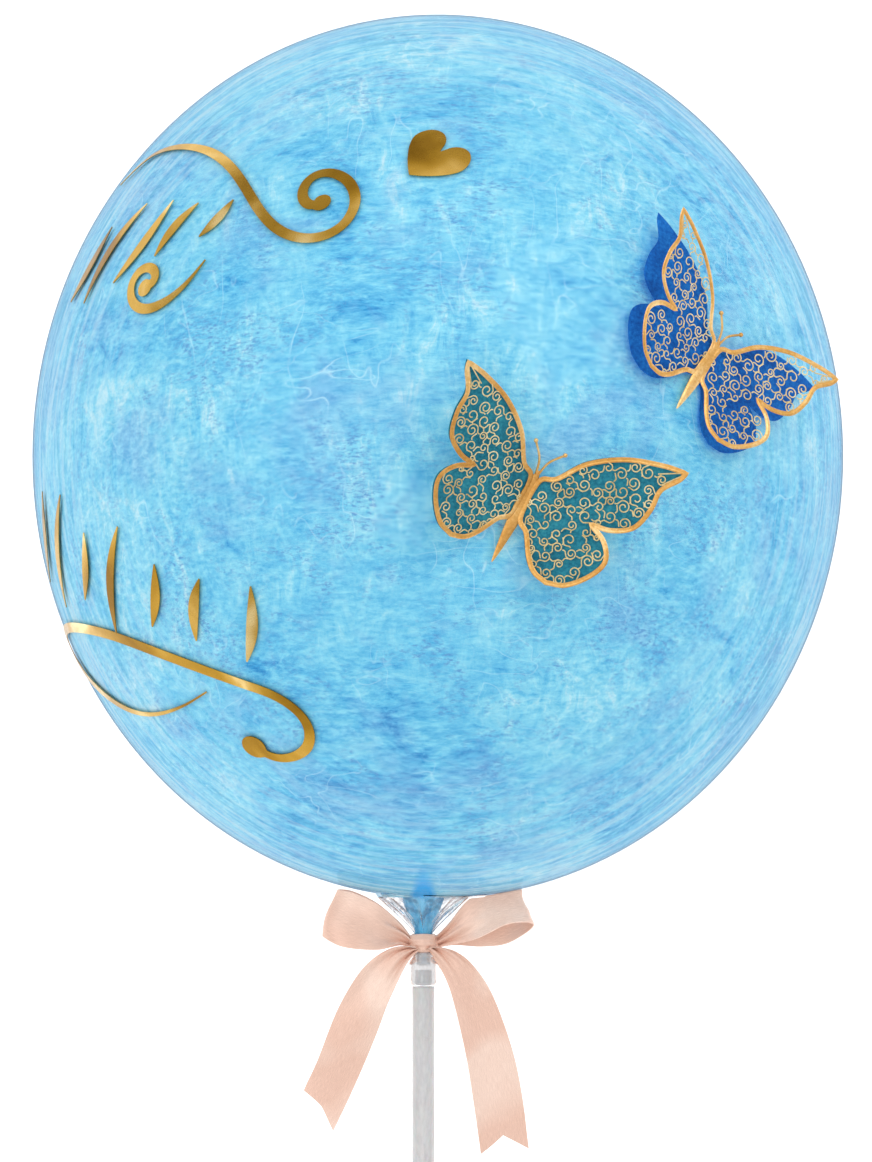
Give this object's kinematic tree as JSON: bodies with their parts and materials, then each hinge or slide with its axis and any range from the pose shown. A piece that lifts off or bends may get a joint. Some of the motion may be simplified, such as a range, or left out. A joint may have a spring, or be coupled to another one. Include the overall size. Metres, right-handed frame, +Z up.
{
  "type": "bubble balloon on a stick",
  "caption": "Clear bubble balloon with a clouded blue balloon inside it, on a straight stick, with paper butterflies, gold scroll foil and a satin bow. It lies on its side.",
  "frame": {"origin": "centre of the small flat spot that the bubble rests on, at floor height", "axes": "+X across the balloon, to the right with the stick towards the viewer; +Y lengthways over the floor, from the stick's end towards the bubble; +Z up from the floor"},
  "size_m": [0.3992, 0.8502, 0.4366],
  "materials": {
    "film": "gloss",
    "cup_plastic": "gloss",
    "tube_plastic": "satin",
    "satin": "satin",
    "teal_paper": "matte",
    "blue_paper": "matte",
    "gold_paper": "satin",
    "gold_foil": "polished"
  },
  "bodies": {
    "root": {"bubble": "film", "cup": "cup_plastic", "stick": "tube_plastic", "bow": "satin", "butterfly_teal_backing": "teal_paper", "butterfly_teal_lace": "gold_paper", "butterfly_blue_backing": "blue_paper", "butterfly_blue_lace": "gold_paper", "heart": "gold_foil", "scroll_upper": "gold_foil", "scroll_curl": "gold_foil", "scroll_lower": "gold_foil", "upper_stroke_1": "gold_foil", "upper_stroke_2": "gold_foil", "upper_stroke_3": "gold_foil", "upper_stroke_4": "gold_foil", "upper_stroke_5": "gold_foil", "lower_stroke_1": "gold_foil", "lower_stroke_2": "gold_foil", "lower_stroke_3": "gold_foil", "lower_stroke_4": "gold_foil", "lower_stroke_5": "gold_foil", "lower_stroke_6": "gold_foil", "lower_stroke_7": "gold_foil"}
  },
  "joints": []
}
